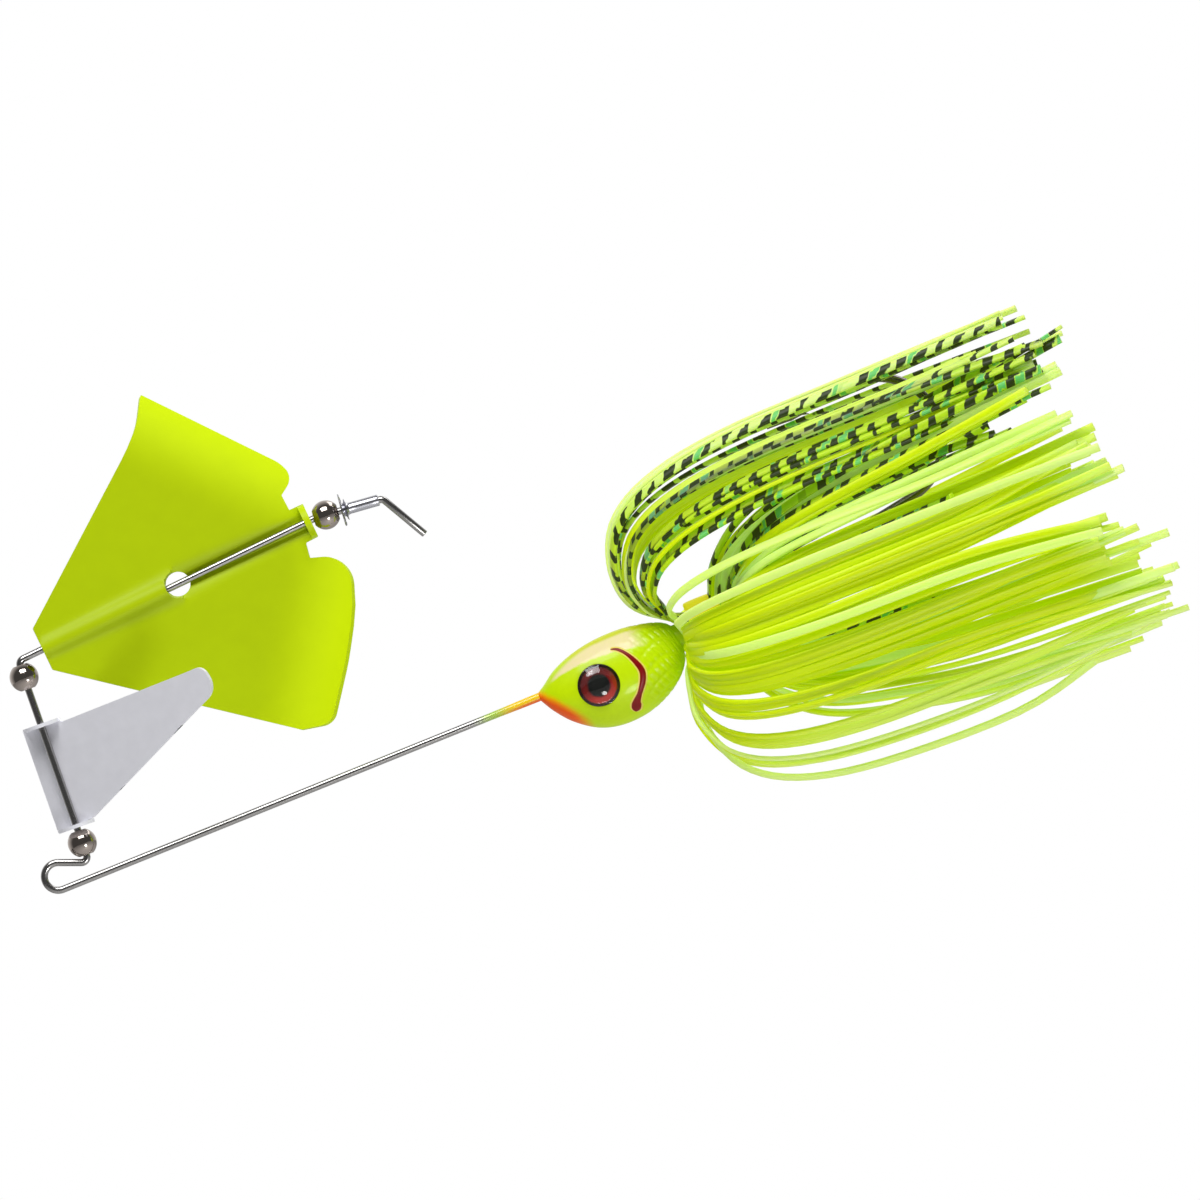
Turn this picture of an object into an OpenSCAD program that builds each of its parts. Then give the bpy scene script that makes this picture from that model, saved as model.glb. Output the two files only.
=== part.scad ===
// Double-blade buzzbait. X runs from the line tie to the hook, Z points up to the hook point.
// The origin is the centre of the line-tie bend. The wire form lies in the XZ plane.

/* [Wire form] */
// Diameter of the stainless wire
wire_d = 1.0; // [0.9:0.05:1.1]
// Centreline radius of the line-tie bend
tie_r = 1.88; // [1.7:0.02:2]
// Slope of the short leg that leaves the line tie, downwards, degrees
tie_leg_drop = 22; // [20:1:24]
// Length of that leg up to the corner under the lower bead
tie_leg_len = 4.22; // [4:0.02:4.6]
// Lean of the upright arm towards the rear, degrees
arm_lean = 2.65; // [2:0.05:3.5]
// Length of the upright arm between its two corners
arm_len = 29.06; // [28.5:0.02:30]
// Rise of the blade shaft towards the rear, degrees
shaft_rise = 3.72; // [3:0.02:4.5]
// Length of the blade shaft from the corner to the kink under the rear bead
shaft_len = 44.84; // [44.6:0.02:45.4]
// Droop of the short straight that carries the rear bead and the rivet, degrees
rear_droop = 6.2; // [5:0.1:8]
// Length of that straight
rear_len = 9.49; // [9.4:0.01:10]
// Downward slope of the tail end of the wire, degrees
tail_drop = 61.7; // [50:0.1:70]
// Length of the tail end
tail_len = 7.5; // [5:0.1:9]
// Where the main arm ends inside the head, from the line tie
arm_end_x = 81.2; // [79:0.1:81.5]

/* [Beads and rivet] */
// Bead diameter
bead_d = 4.0; // [3.8:0.05:4]
// Radial clearance of every part that runs on the wire
run_gap = 0.09; // [0.05:0.01:0.1]
// Distance of the lower bead's centre above the corner, along the upright arm
bead_lower_s = 2.85; // [2.82:0.01:2.9]
// Distance of the corner bead's centre above the same corner
bead_corner_s = 26.72; // [26:0.02:26.76]
// Distance of the rear bead's centre behind the kink
bead_rear_s = 1.46; // [1.44:0.01:1.5]
// Distance of the rivet's flange behind the kink
rivet_s = 3.62; // [3.6:0.01:3.7]
// Overall length of the rivet
rivet_len = 5.3; // [4:0.1:5.4]
// Outer radius of the rivet's tube
rivet_r = 0.78; // [0.72:0.01:0.9]
// Radius of the rivet's flange
flange_r = 2.3; // [1.8:0.1:2.6]

/* [Main blade] */
// Sheet thickness with its paint
blade_t = 0.8; // [0.6:0.05:0.9]
// Distance of the blade's first point behind the upper corner, along the shaft
blade_s = 3.7; // [3.6:0.02:3.9]
// Radius of the hole that the shaft comes through
window_r = 1.8; // [1.6:0.1:2]
// Radius of the curl along the trailing edges
curl_r = 17; // [15:1:24]
// Width of the curled strip along the trailing edges
curl_w = 9; // [6:0.5:10]
// Radius of the rear tab that the shaft passes through
tab_r = 2.4; // [2:0.1:2.6]

/* [Clacker] */
// Sheet thickness of the clacker
clacker_t = 0.5; // [0.4:0.05:0.6]
// Angle of the clacker from the plane of the wire form at rest, degrees
clacker_turn = 34; // [33:1:40]
// Height of the clacker's upright edge
clacker_h = 15.0; // [14:0.1:15.2]
// Radius of the folded tabs
clacker_tab_r = 2.55; // [2.2:0.05:2.8]

/* [Head and hook] */
// Length of the lead head
head_len = 20.6; // [20:0.1:21]
// Greatest width of the head
head_w = 8.8; // [8.4:0.1:9.4]
// Diameter of each eye
eye_d = 5.8; // [5:0.1:6]
// Height of an eye's clear dome
dome_h = 1.0; // [0.6:0.1:1.2]
// Diameter of the hook wire
hook_d = 1.3; // [1.1:0.1:1.4]
// Radius of the hook's bend
hook_bend_r = 8.8; // [8.5:0.1:9.2]
// Slope of the hook's shank, degrees
shank_rise = 9.8; // [9.4:0.1:10.2]

/* [Skirt] */
// Outer radius of the band
band_r = 4.25; // [4:0.05:4.4]
// Width of the band
band_w = 4.8; // [4:0.1:5]
// Reach of the folded-back strands from the band's axis
skirt_r = 24.6; // [22:0.1:26]
// Distance of the strand tips from the line tie
skirt_end = 156.5; // [150:0.5:158]

/* [Hidden] */

wire_r = wire_d / 2;
bead_r = bead_d / 2;
run_r = wire_r + run_gap;
eps = 0.01;
lap = 0.03;
around = 32;

function unit(v) = v / norm(v);
function dir(a) = [cos(a), sin(a)];
function left_of(d) = [-d[1], d[0]];

// Corners of the wire after the line tie, as [x, z]
arm_dir = dir(90 - arm_lean);
rear_dir = dir(-rear_droop);
tie_out = tie_r * dir(90 - tie_leg_drop);
foot = tie_out + tie_leg_len * dir(-tie_leg_drop);
corner = foot + arm_len * arm_dir;
kink = corner + shaft_len * dir(shaft_rise);
tail = kink + rear_len * rear_dir;
tail_end = tail + tail_len * dir(-tail_drop);
corner_bend_r = 0.8;
foot_bend_r = 0.75;
kink_bend_r = 2;

head_x = 69.8;
collar_z = -1.6;
collar_r = 2.0;
collar_start_x = 88;
collar_end_x = 98.2;
band_x = 94.9;
band_bore_r = 3.2;
eye_x = 77.9;
eye_z = -3.45;
eye_seat_y = 3.75;
foil_t = 0.25;

// A straight of round wire between two points of the XZ plane. Both ends run a hair into the next bend.
module straight(p, q, r) {
    d = q - p;
    translate([p[0], 0, p[1]]) rotate([0, atan2(d[0], d[1]), 0]) translate([0, 0, -lap])
        cylinder(h = norm(d) + 2 * lap, r = r, $fn = around);
}

// A bend of round wire in the XZ plane: centre, bend radius, first angle, sweep, wire radius.
// It is a hair thicker than the straights, so that their ends are inside it.
module bend(c, big_r, a, sweep, r) {
    translate([c[0], 0, c[1]]) rotate([90, 0, 0]) rotate([0, 0, min(a, a + sweep)])
        rotate_extrude(angle = abs(sweep), $fn = 64) translate([big_r, 0]) circle(r = r + eps, $fn = 32);
}

function turn(a, b, c) = let (d = unit(b - a), e = unit(c - b)) atan2(d[0] * e[1] - d[1] * e[0], d * e);
function setback(a, b, c, big_r) = big_r * tan(abs(turn(a, b, c)) / 2);

// The bend that rounds corner b of the path a-b-c
module corner_bend(a, b, c, big_r, r) {
    t = turn(a, b, c);
    start = b - setback(a, b, c, big_r) * unit(b - a);
    side = sign(t) * left_of(unit(b - a));
    centre = start + big_r * side;
    bend(centre, big_r, atan2(-side[1], -side[0]), t, r);
}

// A path of straights and rounded corners
module bent_wire(pts, radii, r) {
    last = len(pts) - 1;
    back = [for (i = [0:last]) i == 0 || i == last ? 0 : setback(pts[i - 1], pts[i], pts[i + 1], radii[i])];
    for (i = [0:last - 1]) {
        d = unit(pts[i + 1] - pts[i]);
        straight(pts[i] + back[i] * d, pts[i + 1] - back[i + 1] * d, r);
    }
    for (i = [1:last - 1]) corner_bend(pts[i - 1], pts[i], pts[i + 1], radii[i], r);
}

// Frames of the three straights that carry moving parts: local Z runs along the wire
module on_arm(s) {
    p = foot + s * arm_dir;
    translate([p[0], 0, p[1]]) rotate([0, arm_lean, 0]) children();
}
module on_rear(s) {
    p = kink + s * rear_dir;
    translate([p[0], 0, p[1]]) rotate([0, 90 + rear_droop, 0]) children();
}
// Blade frame: local X along the shaft, local Y up, local Z towards the viewer's side (-Y)
module on_shaft(s) {
    p = corner + s * dir(shaft_rise);
    translate([p[0], 0, p[1]]) rotate([90, 0, 0]) rotate([0, 0, shaft_rise]) children();
}

module wire_form() {
    color("silver") {
        straight([0, -tie_r], [arm_end_x, -tie_r], wire_r);
        bend([0, 0], tie_r, 90 - tie_leg_drop, 180 + tie_leg_drop, wire_r);
        bent_wire([tie_out, foot, corner, kink, tail, tail_end],
                  [0, foot_bend_r, corner_bend_r, kink_bend_r, corner_bend_r, 0], wire_r);
    }
}

// A drilled steel ball with a countersink at each mouth
module bead() {
    sink_h = 0.5;
    mouth_r = 1.1;
    mouth_z = sqrt(bead_r * bead_r - mouth_r * mouth_r);
    color("gainsboro") difference() {
        sphere(r = bead_r, $fn = 64);
        cylinder(h = 3 * bead_r, r = run_r, center = true, $fn = around);
        for (m = [0, 1]) mirror([0, 0, m]) translate([0, 0, mouth_z - sink_h])
            cylinder(h = sink_h + 0.4, r1 = run_r - 0.1, r2 = mouth_r + 0.4, $fn = around);
    }
}
module bead_lower() on_arm(bead_lower_s) bead();
module bead_corner() on_arm(bead_corner_s) bead();
module bead_rear() on_rear(bead_rear_s) bead();

// Loose rivet: thin flange, short flare and a tube on the wire
module rivet() {
    flange_t = 0.22;
    flare_h = 0.6;
    flare_r = 1.35;
    rivet_bore_r = wire_r + 0.06;
    color("lightgray") on_rear(rivet_s) difference() {
        union() {
            cylinder(h = flange_t, r = flange_r, $fn = around);
            translate([0, 0, flange_t - eps])
                cylinder(h = flare_h, r1 = flare_r, r2 = rivet_r - 0.01, $fn = around);
            cylinder(h = rivet_len, r = rivet_r, $fn = around);
        }
        translate([0, 0, -1]) cylinder(h = rivet_len + 2, r = rivet_bore_r, $fn = around);
    }
}

// Clacker: a flag plate behind the wire, with a folded tab at each end of its upright edge.
// Local X along the wing, local Z along the wire, local Y away from the viewer's side.
module clacker_blade() {
    plate_y = run_r + 0.05;
    edge_x = -3.6;
    wing_x = 25.6;
    wing_z = 12.8;
    wing_r = 2.2;
    first_s = bead_lower_s + bead_r + 0.16;
    color("gainsboro") on_arm(first_s) rotate([0, 0, -clacker_turn]) difference() {
        union() {
            translate([0, plate_y + clacker_t, 0]) rotate([90, 0, 0])
                linear_extrude(clacker_t) union() {
                    polygon([[edge_x, 0], [2.6, 0.6], [wing_x + 0.86, wing_z - 2.03], [wing_x, wing_z],
                             [wing_x - 0.1, wing_z + wing_r], [2.8, clacker_h - 0.7], [2.5, clacker_h],
                             [edge_x, clacker_h]]);
                    translate([wing_x, wing_z]) circle(r = wing_r, $fn = around);
                }
            for (z = [0, clacker_h - clacker_t]) translate([0, 0, z]) {
                cylinder(h = clacker_t, r = clacker_tab_r, $fn = around);
                translate([edge_x, 0, 0]) cube([2.4 - edge_x, plate_y + eps, clacker_t]);
            }
        }
        translate([0, 0, -1]) cylinder(h = clacker_h + 2, r = run_r, $fn = around);
    }
}

// Cross-section of a wing across its trailing edge: flat, then curled by an arc.
// Local X is the distance towards the edge from where the curl starts.
module wing_section(way) {
    steps = 8;
    sweep = asin((curl_w + 1.5) / curl_r);
    mid = -(run_r + 0.01 + blade_t / 2);
    function arc(r) = [for (i = [0:steps]) let (a = sweep * i / steps)
        [r * sin(a), mid + way * (curl_r - r * cos(a))]];
    inner = arc(curl_r - way * blade_t / 2);
    outer = arc(curl_r + way * blade_t / 2);
    polygon(concat([[-50, mid + blade_t / 2]], inner, [for (i = [steps:-1:0]) outer[i]],
                   [[-50, mid - blade_t / 2]]));
}

// One wing: the curled section run along its trailing edge, cut to the wing's outline
module wing(outline, edge_a, edge_b, way) {
    along = unit(edge_b - edge_a);
    tilt = atan2(along[1], along[0]) + (way > 0 ? 90 : -90);
    half_depth = 8;
    half_width = 60;
    start = edge_a - curl_w * dir(tilt);
    intersection() {
        translate([0, 0, -half_depth]) linear_extrude(2 * half_depth) polygon(outline);
        translate([start[0], start[1], 0]) rotate([0, 0, tilt]) rotate([90, 0, 0])
            translate([0, 0, -half_width]) linear_extrude(2 * half_width) wing_section(way);
    }
}

// Main blade, in the blade frame with its first point at X = 0
module main_blade() {
    rib_r = 1.35;
    rib_end = 18.6;
    window_x = 20.4;
    tab_x = 39.5;
    tab_t = 1.0;
    front_tab_r = 1.9;
    back = -(run_r + 0.01 + blade_t);
    tip_top = [26.8, 25.3];
    rear_top = [39.7, 8.9];
    rear_low = [41.5, -10.5];
    tip_low = [30.2, -25.3];
    upper = [[0, 0], [0, 3], [23, 21], tip_top, rear_top, [40.35, 7.5], [40.2, 6.5], [39.5, 5.6], [38.3, 4.8],
             [38.2, 2.6], [tab_x + 0.4, 2.4], [tab_x + 0.4, 0]];
    lower = [[0, 0], [tab_x + 0.4, 0], [tab_x + 0.4, -2.4], [38.3, -2.4], [38.2, -4.5], [40.2, -5.3],
             [41.4, -6.4], [42.1, -7.9], [42.1, -9.2], rear_low, [38.3, -16.9], [33.2, -23.6], [31.9, -25.2],
             [30.9, -25.8], [29.7, -25.8], [26.9, -25.1], [0, -3]];
    color("yellowgreen") on_shaft(blade_s) difference() {
        union() {
            wing(upper, rear_top, tip_top, -1);
            wing(lower, rear_low, tip_low, 1);
            rotate([0, 90, 0]) translate([0, 0, 0.4]) cylinder(h = rib_end - 0.4, r = rib_r, $fn = around);
            rotate([0, 90, 0]) cylinder(h = 0.9, r = front_tab_r, $fn = around);
            translate([tab_x, 0, 0]) rotate([0, 90, 0]) cylinder(h = tab_t, r = tab_r, $fn = around);
            translate([tab_x, -tab_r, back]) cube([tab_t, 2 * tab_r, -back]);
        }
        translate([-1, 0, 0]) rotate([0, 90, 0]) cylinder(h = rib_end + 3, r = run_r, $fn = around);
        translate([tab_x - 1, 0, 0]) rotate([0, 90, 0]) cylinder(h = tab_t + 2, r = run_r, $fn = around);
        translate([0.9, -run_r, -5]) cube([rib_end, 2 * run_r, 5]);
        translate([window_x, 0, -5]) cylinder(h = 10, r = window_r, $fn = around);
    }
}

// Stations of the head along X: [distance from the nose, top, bottom, share of the half width]
stations = [[0, -1.3, -2.46, 0.14], [1.2, -0.8, -4.4, 0.42], [3.2, 0.7, -6.8, 0.68], [6.2, 1.9, -8.9, 0.9],
            [9.7, 2.55, -9.7, 1], [13.7, 2.6, -9.3, 1], [17.2, 2.0, -7.8, 0.88], [19.4, 1.2, -6.0, 0.7],
            [20.6, 0, -4.2, 0.46]];

// Length that the stations are written for
stations_len = 20.6;

function smooth(a, b, c, d, t) =
    0.5 * (2 * b + (c - a) * t + (2 * a - 5 * b + 4 * c - d) * t * t + (3 * b - a - 3 * c + d) * t * t * t);
function along(list, s) =
    let (last = len(list) - 1, i = min(floor(s), last - 1))
    smooth(list[max(i - 1, 0)], list[i], list[i + 1], list[min(i + 2, last)], s - i);

// A closed solid through rings of points, each ring with the same number of points
module loft(rings) {
    n = len(rings[0]);
    m = len(rings);
    polyhedron(
        points = [for (ring = rings, p = ring) p],
        faces = concat([[for (k = [0:n - 1]) k]], [[for (k = [n - 1:-1:0]) (m - 1) * n + k]],
            [for (i = [0:m - 2], k = [0:n - 1]) let (a = i * n + k, b = i * n + (k + 1) % n)
                [a, a + n, b + n, b]]));
}

module head_shape() {
    sides = 32;
    slices = 3;
    rings = [for (i = [0:slices * (len(stations) - 1)]) let (s = along(stations, i / slices))
        [for (k = [0:sides - 1]) let (a = 360 * k / sides)
            [head_x + s[0] * head_len / stations_len, s[3] * head_w / 2 * cos(a),
             (s[1] + s[2]) / 2 + (s[1] - s[2]) / 2 * sin(a)]]];
    loft(rings);
}

// Lead head with the collar for the skirt and a seat for each eye
module head() {
    color("greenyellow") difference() {
        union() {
            head_shape();
            translate([collar_start_x, 0, collar_z]) rotate([0, 90, 0])
                cylinder(h = collar_end_x - collar_start_x, r = collar_r, $fn = around);
        }
        for (side = [-1, 1]) translate([eye_x, side * eye_seat_y, eye_z]) rotate([-90 * side, 0, 0])
            cylinder(h = 3, r = eye_d / 2 + 0.03, $fn = around);
    }
}

module eye_foil(side) {
    color("firebrick") translate([eye_x, side * eye_seat_y, eye_z]) rotate([-90 * side, 0, 0])
        cylinder(h = foil_t, r = eye_d / 2, $fn = around);
}
module eye_foil_left() eye_foil(-1);
module eye_foil_right() eye_foil(1);

module eye_dome(side) {
    cap_r = (pow(eye_d / 2, 2) + dome_h * dome_h) / (2 * dome_h);
    color("lightcyan") translate([eye_x, side * (eye_seat_y + foil_t), eye_z]) rotate([-90 * side, 0, 0])
        intersection() {
            translate([0, 0, dome_h - cap_r]) sphere(r = cap_r, $fn = 96);
            cylinder(h = dome_h + 1, r = eye_d / 2, $fn = around);
        }
}
module eye_dome_left() eye_dome(-1);
module eye_dome_right() eye_dome(1);

// Hook: eye inside the head, straight shank, round bend, point leg with a barb
module hook() {
    r = hook_d / 2;
    bend_c = [125.5, 13];
    shank_dir = dir(shank_rise);
    shank_end = bend_c - hook_bend_r * left_of(shank_dir);
    eye_ring_r = 1.22;
    eye_wire_r = 0.55;
    eye_to_bend = 52.8;
    eye_c = shank_end - eye_to_bend * shank_dir;
    point_drop = 6.5;
    point_dir = dir(180 + point_drop);
    leg_start = bend_c - hook_bend_r * left_of(point_dir);
    leg_len = 9;
    point_len = 3.4;
    barb_drop = 26;
    barb_len = 1.9;
    leg_end = leg_start + leg_len * point_dir;
    color("dimgray") {
        bend(eye_c, eye_ring_r, 0, 360, eye_wire_r);
        straight(eye_c + (eye_ring_r + 0.3) * shank_dir, shank_end, r);
        bend(bend_c, hook_bend_r, shank_rise - 90, 180 + point_drop - shank_rise, r);
        straight(leg_start, leg_end, r);
        translate([leg_end[0], 0, leg_end[1]]) rotate([0, -90 - point_drop, 0])
            cylinder(h = point_len, r1 = r - eps, r2 = 0.12, $fn = around);
        translate([leg_end[0] + 0.6, 0, leg_end[1] - 0.15]) rotate([0, 90 + barb_drop, 0])
            cylinder(h = barb_len, r1 = 0.32, r2 = 0.08, $fn = 16);
    }
}

module skirt_band() {
    color("gold") translate([band_x - band_w / 2, 0, collar_z]) rotate([0, 90, 0]) difference() {
        cylinder(h = band_w, r = band_r, $fn = around);
        translate([0, 0, -1]) cylinder(h = band_w + 2, r = band_bore_r, $fn = around);
    }
}

// A skirt bundle follows its strands: from the rear tips forward under the band, out in front of it,
// and back over the outside to the front tips. Each row is
// [x, distance from the band's axis, half depth, half width, share of the front angle, share of the rear].
bundle_path = [
    [skirt_end, 15, 0.6, 1.6, 0, 1], [140, 13, 1.4, 2.1, 0, 1], [122, 10.5, 1.7, 1.9, 0, 1],
    [107, 7.6, 1.5, 1.5, 0, 1], [100, 3.9, 0.7, 0.9, 0, 0.35], [97, 2.62, 0.44, 0.82, 0, 0],
    [92.8, 2.62, 0.44, 0.82, 0, 0], [91.3, 4.1, 0.6, 1.2, 0.3, 0], [90.2, 7, 0.9, 2, 1, 0],
    [89, 11, 1.1, 2.8, 1, 0], [90.5, 16, 1.3, 4, 1, 0], [97, 20.6, 1.5, 5, 1, 0], [110, 23.6, 1.7, 6, 1, 0],
    [128, skirt_r, 1.7, 6.5, 1, 0], [148, 24, 0.8, 5, 1, 0]];

// root, front and rear are angles from straight up, towards the left side (-Y) when side is -1
module bundle(root, front, rear, side) {
    sides = 12;
    steps = 28;
    function centre(s) =
        let (p = along(bundle_path, s), a = root + p[4] * (front - root) + p[5] * (rear - root))
        [p[0], side * p[1] * sin(a), collar_z + p[1] * cos(a)];
    function angle_at(s) =
        let (p = along(bundle_path, s)) root + p[4] * (front - root) + p[5] * (rear - root);
    last = len(bundle_path) - 1;
    rings = [for (i = [0:steps])
        let (s = i * last / steps, p = along(bundle_path, s), c = centre(s), a = angle_at(s),
             ahead = unit(centre(min(s + 0.1, last)) - centre(max(s - 0.1, 0))),
             flat = [0, side * cos(a), -sin(a)],
             wide = unit(flat - (flat * ahead) * ahead), deep = cross(ahead, wide))
        [for (k = [0:sides - 1]) let (q = side * 360 * k / sides)
            c + p[3] * cos(q) * wide + p[2] * sin(q) * deep]];
    loft(rings);
}

module skirt_top_left() color("greenyellow") bundle(22.5, 19, 62, -1);
module skirt_top_right() color("greenyellow") bundle(22.5, 19, 62, 1);
module skirt_upper_left() color("greenyellow") bundle(67.5, 62, 88, -1);
module skirt_upper_right() color("greenyellow") bundle(67.5, 62, 88, 1);
module skirt_lower_left() color("greenyellow") bundle(112.5, 110, 118, -1);
module skirt_lower_right() color("greenyellow") bundle(112.5, 110, 118, 1);
module skirt_bottom_left() color("greenyellow") bundle(157.5, 160, 152, -1);
module skirt_bottom_right() color("greenyellow") bundle(157.5, 160, 152, 1);

wire_form();
bead_lower();
clacker_blade();
bead_corner();
main_blade();
bead_rear();
rivet();
head();
hook();
eye_foil_left();
eye_foil_right();
eye_dome_left();
eye_dome_right();
skirt_band();
skirt_top_left();
skirt_top_right();
skirt_upper_left();
skirt_upper_right();
skirt_lower_left();
skirt_lower_right();
skirt_bottom_left();
skirt_bottom_right();
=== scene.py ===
import math
import random

import bmesh
import bpy
from mathutils import Matrix, Vector, noise
from mathutils.geometry import delaunay_2d_cdt


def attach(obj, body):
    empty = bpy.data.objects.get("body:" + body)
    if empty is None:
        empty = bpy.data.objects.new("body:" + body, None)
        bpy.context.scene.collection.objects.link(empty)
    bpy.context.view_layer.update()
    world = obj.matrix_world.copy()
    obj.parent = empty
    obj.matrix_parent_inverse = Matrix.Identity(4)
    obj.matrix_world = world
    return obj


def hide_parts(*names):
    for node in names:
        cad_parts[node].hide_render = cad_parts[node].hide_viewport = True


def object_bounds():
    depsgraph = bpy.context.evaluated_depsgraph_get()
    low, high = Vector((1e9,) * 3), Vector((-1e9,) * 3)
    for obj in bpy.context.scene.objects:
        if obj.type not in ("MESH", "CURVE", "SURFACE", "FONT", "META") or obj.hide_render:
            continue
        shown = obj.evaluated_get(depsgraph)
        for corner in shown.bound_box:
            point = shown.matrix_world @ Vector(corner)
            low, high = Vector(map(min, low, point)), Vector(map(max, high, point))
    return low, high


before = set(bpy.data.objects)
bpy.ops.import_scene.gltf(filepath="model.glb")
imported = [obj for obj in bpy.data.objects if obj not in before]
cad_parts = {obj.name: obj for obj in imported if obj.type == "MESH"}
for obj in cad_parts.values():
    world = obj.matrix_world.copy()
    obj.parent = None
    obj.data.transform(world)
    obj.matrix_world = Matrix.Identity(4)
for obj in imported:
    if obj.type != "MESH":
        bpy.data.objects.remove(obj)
cad_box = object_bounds()

MM = 0.001
TAU = 2 * math.pi
X_AXIS = Vector((1, 0, 0))
random.seed(11)

# Wire form, in millimetres and degrees, as in the CAD source
WIRE_R = 0.5
TIE_R = 1.88
TIE_DROP = 22
TIE_LEG = 4.22
ARM_LEAN = 2.65
ARM_LEN = 29.06
SHAFT_RISE = 3.72
SHAFT_LEN = 44.84
REAR_DROOP = 6.2
REAR_LEN = 9.49
TAIL_DROP = 61.7
TAIL_LEN = 7.5
ARM_END_X = 81.2
RUN_R = 0.59

BEAD_R = 2.0
BEAD_LOWER_S = 2.85
BEAD_CORNER_S = 26.72
BEAD_REAR_S = 1.46
RIVET_S = 3.62

AXIS_Z = -1.6
HEAD_X = 69.8
EYE = Vector((77.9, 3.75, -3.45))
EYE_R = 2.9
BAND_X = 94.9


# ---------- shape helpers

def flat(angle):
    """Unit vector in the plane of the wire form, at an angle in degrees above +X."""
    a = math.radians(angle)
    return Vector((math.cos(a), 0, math.sin(a)))


def turns(count):
    """Cosine and sine of each step of a full turn."""
    return [(math.cos(TAU * k / count), math.sin(TAU * k / count)) for k in range(count)]


def catmull(values, s):
    """Smooth value of a list of vectors or numbers at position s."""
    last = len(values) - 1
    i = min(int(s), last - 1)
    t = s - i
    a, b = values[max(i - 1, 0)], values[i]
    c, d = values[i + 1], values[min(i + 2, last)]
    square, cube = 2 * a - 5 * b + 4 * c - d, 3 * b - a - 3 * c + d
    return 0.5 * (2 * b + (c - a) * t + square * t * t + cube * t ** 3)


def smooth_step(low, high, x):
    t = min(max((x - low) / (high - low), 0), 1)
    return t * t * (3 - 2 * t)


def rounded_path(points, radii, step=0.18):
    """Straights and round corners through points in the plane of the wire form."""
    path = [points[0]]
    for i in range(1, len(points) - 1):
        before, here, after = points[i - 1], points[i], points[i + 1]
        d, e = (here - before).normalized(), (after - here).normalized()
        turn = d.angle(e)
        back = radii[i] * math.tan(turn / 2)
        side = (e - d * d.dot(e)).normalized()
        start = here - d * back
        centre = start + side * radii[i]
        count = max(4, int(turn * radii[i] / step))
        for k in range(count + 1):
            a = turn * k / count
            path.append(centre + (d * math.sin(a) - side * math.cos(a)) * radii[i])
    path.append(points[-1])
    return path


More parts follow.
